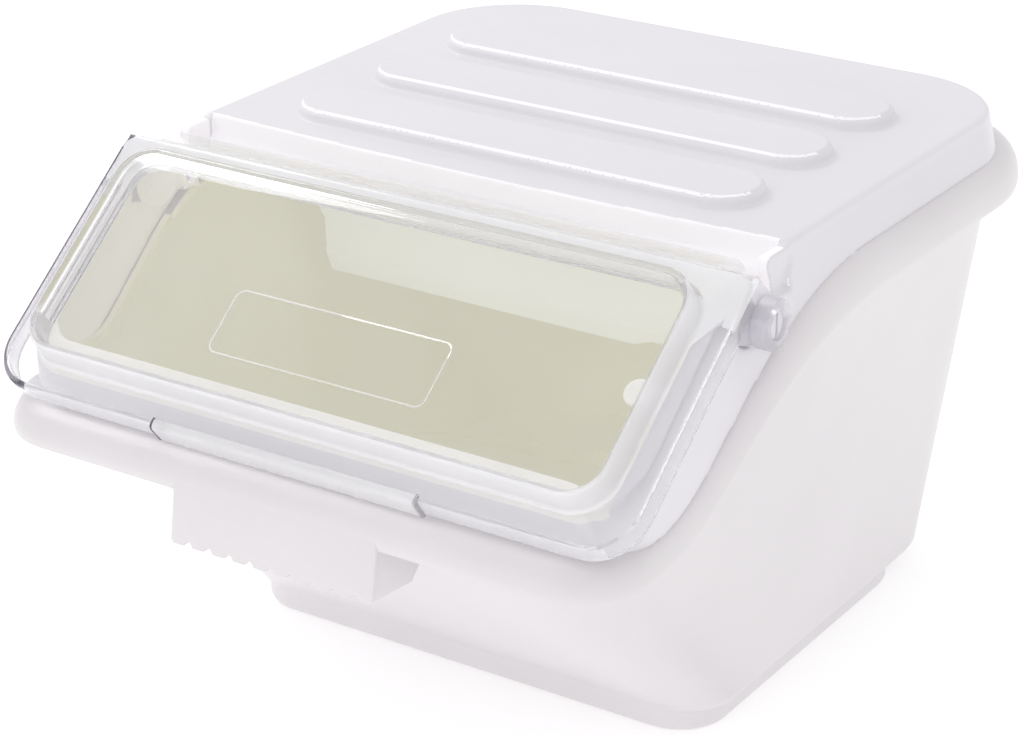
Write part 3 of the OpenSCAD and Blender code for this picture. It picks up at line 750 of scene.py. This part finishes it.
def inside_cover(p):
    """True for faces of the cover's inner side."""
    x, y, z = (c / MM for c in p.center)
    nx, ny, nz = p.normal
    over_hinge = AXIS_Y - COLLAR_R < y < TOP_Y
    if over_hinge and z > AXIS_Z - SLOT_FLOOR - 1:
        return abs(x) < HINGE_WALL_IN + 0.6 and (
            z < GUTTER_Z - 0.5 or (y < AXIS_Y + COLLAR_R and nx * x < -0.7 * abs(x)))
    if z > (COVER_Z - 2 if y > TOP_Y else land_z(y) - 1):
        return False
    flare = COVER_FLARE - SKIRT_NARROW * (1 - level(y))
    outer = COVER_W / 2 + flare * (COVER_Z - z) / (COVER_Z - seam(y))
    if abs(x) > outer - 1.5 or y < COVER_Y0 + 1.5 or y > COVER_Y1 - 1.5:
        return False
    return nz < -0.5 or (abs(nz) < 0.7 and nx * x + ny * (y + 20) < 0)


def cover_part(p):
    """0 plain, 1 inner side and tab (painted shade and glow), 2 step with painted light, 3 painted highlight
    on the rounded edges of step, bead and ribs, 4 land with painted light.
    """
    x, y, z = (c / MM for c in p.center)
    nx, ny, nz = p.normal
    on_tab = abs(x) < COVER_W / 2 - LAND_W - 0.5 and y < GUTTER_Y - 6 and z > land_z(y) - 4
    # painted shade and glow on the inner side and the tab
    if on_tab or inside_cover(p):
        return 1
    land_edge = abs(x) < COVER_W / 2 - LAND_W + 1 or y < COVER_Y0 + LAND_W + 3
    # painted light on the land under the lid
    if y < AXIS_Y - COLLAR_R and abs(z - land_z(y)) < 1.5 and (nz > 0.6 or land_edge and nz > -0.3):
        return 4
    # painted light on the hinge cheeks in the gutter
    in_gutter = TOP_Y - 24 < y < TOP_Y - 3 and z > GUTTER_Z + 1
    if in_gutter and abs(x) > POCKET_X - 7 and nx * x < 0.3 * abs(x):
        return 2
    if ny > -0.15 or abs(x) > COVER_W / 2 - 5:
        return 0
    # painted highlight on the rib tops
    if y > TOP_Y + 2:
        return 3 if z > COVER_Z + RIB_H - 0.8 and nz > 0.5 else 0
    if y < TOP_Y - STEP_BOW - 4 or z < COVER_Z - STEP_H - 6:
        return 0
    # painted highlight on the step's top edge and bead, painted light on the step face
    bead = COVER_Z - STEP_H - 2.6 < z < COVER_Z - STEP_H + 0.3 and nz > 0.2
    return 3 if z > COVER_Z - 0.8 or bead else 2


for p in cover.data.polygons:
    p.material_index = cover_part(p)


# ---------------------------------------------------------------- flip lid
ON_LID = Matrix.Translation((0, LID_Y, LID_BACK_Z)) @ Matrix.Rotation(SLOPE, 4, "X")


def plate_outline(d):
    return outline(LID_W / 2 - d, -LID_L + d, -d, 20 - d, max(0.6, 8 - d), 16, 24)


def window_outline(d):
    return outline(WINDOW_W / 2 - d, -LID_L + BAND_FRONT + d, -BAND_REAR - d,
                   WINDOW_R - d, WINDOW_R - d, 16, 24)


def lid_shell():
    """Turned-down edge, flange, raised window, all of one thickness."""
    t = LID_T
    rings = []

    def corner(o, cx, cz, r, a0, a1, steps=5):
        for k in range(steps + 1):
            a = math.radians(lerp(a0, a1, k / steps))
            rings.append(level_ring(o(cx - r * math.cos(a)), cz + r * math.sin(a)))

    rings.append(level_ring(plate_outline(0.4), -EDGE_H))
    rings.append(level_ring(plate_outline(0), -EDGE_H + 0.4))
    corner(plate_outline, 2.2, -2.2, 2.2, 0, 90)
    rings.append(level_ring(plate_outline(4.5), 0))
    for k in range(5):
        a = math.radians(90 * k / 4)
        rings.append(level_ring(window_outline(-1.4 * (1 - math.sin(a))), 1.4 * (1 - math.cos(a))))
    corner(window_outline, 2.4 + 0.6, WINDOW_H - 2.4, 2.4, 0, 90)
    rings.append(level_ring(window_outline(6), WINDOW_H))
    rings.append(level_ring(window_outline(WINDOW_R - 2), WINDOW_H))
    obj = make("lid_shell", loft(rings))
    top = WINDOW_H - t
    inner = [level_ring(plate_outline(d), z)
             for d, z in ((t, -EDGE_H - 1), (t, -t - 0.8), (t + 0.3, -t - 0.2), (t + 0.9, -t))]
    inner += [level_ring(window_outline(d), z)
              for d, z in ((t - 0.3, -t), (t + 0.2, -t + 0.6), (t + 0.7, top - 1.0),
                           (t + 1.1, top - 0.3), (t + 1.8, top), (WINDOW_R - 2, top))]
    combine(obj, "DIFFERENCE", loft(inner))
    combine(obj, "DIFFERENCE", box(-LID_W / 2 + t, LID_W / 2 - t, -12, 8, -EDGE_H - 1, -t))
    return obj


def panel_border(obj):
    """Thin raised rounded rectangle on the window, bare inside."""
    r = PANEL_R
    x0, x1, y0, y1 = PANEL_X0 + r, PANEL_X1 - r, PANEL_Y0 + r, PANEL_Y1 - r

    def rounded(d):
        pts = []
        for cx, cy, a0 in ((x1, y1, 0), (x0, y1, 90), (x0, y0, 180), (x1, y0, 270)):
            for k in range(9):
                a = math.radians(a0 + 90 * k / 8)
                pts.append((cx + (r - d) * math.cos(a), cy + (r - d) * math.sin(a)))
        return pts

    line = make("line", slab(rounded(0), WINDOW_H - 0.2, WINDOW_H + PANEL_LINE_H))
    combine(line, "DIFFERENCE", slab(rounded(PANEL_LINE_W), WINDOW_H - 1, WINDOW_H + 2))
    return combine(obj, "UNION", line)


def finger_bar():
    """Raised bar in the middle of the front edge, ends rounded off."""
    y0 = -LID_L - BAR_OUT
    y1 = -LID_L + LID_T
    z0, z1 = -EDGE_H, BAR_RISE
    prof = [(y0 + 0.8, z0), (y1, z0), (y1, z1), (y0 + 1.6, z1), (y0 + 0.5, z1 - 0.5), (y0, z1 - 1.6),
            (y0, z0 + 0.8)]
    bar = bevel(make("bar", prism(prof, -BAR_W / 2, BAR_W / 2)), 0.5, 2, 30)
    caps = [make("cap", prism(shrunk(prof, -0.12), x - 0.45, x + 0.45))
            for x in (-BAR_W / 2 + 0.4, BAR_W / 2 - 0.4)]
    return combine(bar, "UNION", *caps)


def lid_web():
    """Side web that carries the hub under the lid's edge."""
    web = [(0, -2.2), (-AXIS_IN + HUB_R, -AXIS_DROP), (-AXIS_IN, -AXIS_DROP),
           (-AXIS_IN - HUB_R, -AXIS_DROP), (-AXIS_IN - HUB_R - 6, -EDGE_H), (-40, -EDGE_H), (-40, -2.2)]
    return moved(prism(web, LID_W / 2 - LID_T, LID_W / 2), ON_LID)


def lid_apron():
    """Curved strip behind the lid's rear edge, round the hinge axis."""
    half = COVER_W / 2 - LAND_W - 3
    start = math.pi / 2 + SLOPE - math.atan(AXIS_IN / AXIS_DROP)
    end = math.radians(28)
    prof = [(AXIS_Y + SWING_R * math.cos(a), AXIS_Z + SWING_R * math.sin(a))
            for a in (lerp(start, end, i / 24) for i in range(25))]
    prof += [(AXIS_Y + (SWING_R - LID_T) * math.cos(a), AXIS_Z + (SWING_R - LID_T) * math.sin(a))
             for a in (lerp(start + math.radians(3), end, i / 24) for i in range(24, -1, -1))]
    return prism(prof, -half, half)


def lid_piece():
    obj = lid_shell()
    panel_border(obj)
    combine(obj, "UNION", finger_bar())
    m = ON_LID.copy()
    m.translation = m.translation * MM
    obj.data.transform(m)
    combine(obj, "UNION", lid_apron())
    for flip in (False, True):
        side = mirrored if flip else (lambda s: s)
        combine(obj, "UNION", side(lid_web()))
        hub = [(HUB_IN, HUB_R - 0.6), (HUB_IN + 0.6, HUB_R), (HUB_IN + HUB_L - 1.0, HUB_R),
               (HUB_IN + HUB_L - 0.3, HUB_R - 0.4), (HUB_IN + HUB_L, HUB_R - 1.2)]
        combine(obj, "UNION", side(at_axis(turned(hub, 96))))
        r = PIN_R + PIN_PLAY
        combine(obj, "DIFFERENCE", side(at_axis(turned([(HUB_IN - 5, r), (HUB_IN + HUB_L + 5, r)], 96))))
    obj.name = "clear_flip_lid"
    return obj


lid = lid_piece()
smooth_faces(lid, 32)
LID_PARTS = [CLEAR, CLEAR_BAND_PAINTED_LIGHT, CLEAR_SIDE_PAINTED_SHADE, CLEAR_FRONT_PAINTED_LIGHT, CLEAR_REAR_PAINTED_REFLECTION, CLEAR_WALL_PAINTED_REFLECTION, CLEAR_BAR, CLEAR_HUB_PAINTED_SHADE,
             CLEAR_APRON, EDGE_DARK, EDGE_GREY_SHADE, BORDER]
finish_piece(lid, "lid", "clear_plastic", "flip_lid", *LID_PARTS)
lid.visible_shadow = False
LID_INVERSE = ON_LID.inverted()


def lid_part(p):
    """Material of a lid face, by where it lies on the lid's own sloped frame."""
    x, y, z = LID_INVERSE @ (p.center / MM)
    wx = abs(x) - WINDOW_W / 2 + WINDOW_R
    front, rear = -y - LID_L + BAND_FRONT + WINDOW_R, y + BAND_REAR + WINDOW_R
    wy = max(front, rear)
    inside = WINDOW_R - (math.hypot(wx, wy) if wx > 0 and wy > 0 else max(wx, wy))
    if z > WINDOW_H + 0.05:
        return BORDER
    if y > 0.05:
        return CLEAR_APRON
    # painted shade on the hub
    if z < -EDGE_H - 0.2:
        return CLEAR_HUB_PAINTED_SHADE
    if y < -LID_L + LID_T and abs(x) < BAR_W / 2 + 0.2:
        if abs(x) < BAR_W / 2 - 0.9:
            return CLEAR_BAR
        # painted shade at the bar's ends
        return EDGE_DARK if x < 0 else EDGE_GREY_SHADE
    cut_x, cut_y = abs(x) - LID_W / 2 + 20, -y - LID_L + 20
    edge = 20 - math.hypot(cut_x, cut_y) if cut_x > 0 and cut_y > 0 else LID_W / 2 - abs(x)
    # painted shade along the left front corner edge
    if x < 0 and edge < 1.9 and z > -2.4 and cut_x > 0:
        return EDGE_DARK
    if inside > -1.5 and z > -0.5:
        # painted reflection on the window's front and right walls
        facing = rear <= WINDOW_R * 0.7 and (front > 0 or (x > 0 and wx > 0))
        return CLEAR_WALL_PAINTED_REFLECTION if facing and inside < LID_T + 1 and z < WINDOW_H - 0.6 else CLEAR
    # painted light on the front edge
    if y < -LID_L + LID_T + 0.5 and z < -0.3:
        return CLEAR_FRONT_PAINTED_LIGHT
    # painted reflection on the rear band
    if z > -LID_T - 0.5 and (y > -BAND_REAR - 1 or (y > -BAND_REAR - WINDOW_R and wx > 0)):
        return CLEAR_REAR_PAINTED_REFLECTION
    # painted shade on the side bands, painted light on the front band
    return CLEAR_SIDE_PAINTED_SHADE if abs(x) > WINDOW_W / 2 - 4 else CLEAR_BAND_PAINTED_LIGHT


for p in lid.data.polygons:
    p.material_index = LID_PARTS.index(lid_part(p))


# ---------------------------------------------------------------- hinge pins
def pin_piece(name, flip):
    side = mirrored if flip else (lambda s: s)
    x0 = HINGE_WALL_IN - HEAD_T
    tip = HUB_IN + HUB_L - 1
    prof = [(x0, HEAD_R - 0.8), (x0 + 0.8, HEAD_R), (HINGE_WALL_IN - 0.3, HEAD_R),
            (HINGE_WALL_IN, HEAD_R - 0.3), (HINGE_WALL_IN, PIN_R), (tip - 1.4, PIN_R),
            (tip - 0.4, PIN_R - 0.6), (tip, PIN_R - 1.6)]
    obj = make(name, side(at_axis(turned(prof, 96))))
    combine(obj, "DIFFERENCE", side(box(tip - 7, tip + 1, AXIS_Y - 0.8, AXIS_Y + 0.8,
                                        AXIS_Z - 20, AXIS_Z + 20)))
    bevel(obj, 0.25, 2, 35)
    obj.name = name
    return smooth_faces(obj, 40)


for name, flip in (("hinge_pin_r", False), ("hinge_pin_l", True)):
    pin = finish_piece(pin_piece(name, flip), "cover", "pin_plastic",
                       "hinge_pin_left" if flip else "hinge_pin_right", PIN, COVER_IN_PAINTED_SHADE_GLOW)
    # the pin's inner end takes the painted inner shade and glow
    for p in pin.data.polygons:
        if abs(p.center.x) < HINGE_WALL_IN * MM:
            p.material_index = 1


# ---------------------------------------------------------------- baffle
def baffle_piece():
    """Hanging plate with its lower strip bent rearwards."""
    top, z1, z0, t = COVER_Z - COVER_T, BAFFLE_Z + BAFFLE_BEND, BAFFLE_Z, BAFFLE_T
    path = [(BAFFLE_Y, top), (BAFFLE_Y, z1 + 7), (BAFFLE_Y + 0.8, z1 + 4), (BAFFLE_Y, z1 + 1),
            (BAFFLE_Y + 0.35, z1), (BAFFLE_Y + 4, z0)]
    back = [(BAFFLE_Y + 4 + t, z0), (BAFFLE_Y + t + 0.35, z1 - 0.2), (BAFFLE_Y + t, z1 + 1.2),
            (BAFFLE_Y + t, top)]
    obj = bevel(make("baffle_plate", prism(path + back, -BAFFLE_W / 2, BAFFLE_W / 2)), 0.5, 3, 50)
    return smooth_faces(obj, 40)


finish_piece(baffle_piece(), "cover", "baffle_plastic", "baffle", BAFFLE_PAINTED_SHADE_GLOW)


# ---------------------------------------------------------------- floor, light, camera
def studio():
    half, z = 4000, -0.05
    corners = [(-half, -half, z), (half, -half, z), (half, half, z), (-half, half, z)]
    floor = make("floor", (corners, [(0, 1, 2, 3)]))
    mat = bpy.data.materials.new("floor")
    mat.use_nodes = True
    shader = mat.node_tree.nodes["Principled BSDF"]
    shader.inputs["Base Color"].default_value = (0.92, 0.92, 0.92, 1)
    shader.inputs["Roughness"].default_value = 0.9
    shader.inputs["Emission Color"].default_value = (1, 1, 1, 1)
    shader.inputs["Emission Strength"].default_value = 0.28
    floor.data.materials.append(mat)

    world = bpy.data.worlds.new("studio")
    world.use_nodes = True
    bg = world.node_tree.nodes["Background"]
    bg.inputs["Color"].default_value = (1, 1, 1, 1)
    bg.inputs["Strength"].default_value = 0.86
    bpy.context.scene.world = world

    def area(name, loc, target, size, power):
        data = bpy.data.lights.new(name, "AREA")
        data.shape = "RECTANGLE"
        data.size, data.size_y = size
        data.energy = power
        o = bpy.data.objects.new(name, data)
        bpy.context.collection.objects.link(o)
        o.location = loc
        o.rotation_euler = (Vector(target) - Vector(loc)).to_track_quat("-Z", "Y").to_euler()

    area("key_top", (-1.1, 0.3, 1.3), (0, 0, 0.15), (0.5, 0.5), 4.0)
    area("front_fill", (-0.3, -1.7, 0.8), (0, -0.05, 0.12), (1.6, 0.8), 3.2)

    cam = bpy.data.cameras.new("camera")
    cam.lens = CAMERA_LENS
    cam.sensor_width = 36
    cam.sensor_fit = "HORIZONTAL"
    cam.clip_start, cam.clip_end = 0.01, 50
    cam.dof.use_dof = False
    o = bpy.data.objects.new("camera", cam)
    bpy.context.collection.objects.link(o)
    az, el = CAMERA_AZ, CAMERA_EL
    right = Vector((math.cos(az), math.sin(az), 0))
    back = Vector((math.sin(az) * math.cos(el), -math.cos(az) * math.cos(el), math.sin(el)))
    up = back.cross(right)
    m = Matrix((right, up, back)).transposed().to_4x4()
    m.translation = Vector(CAMERA_AT)
    o.matrix_world = m
    bpy.context.scene.camera = o
    bpy.context.scene.view_settings.view_transform = "Standard"


studio()
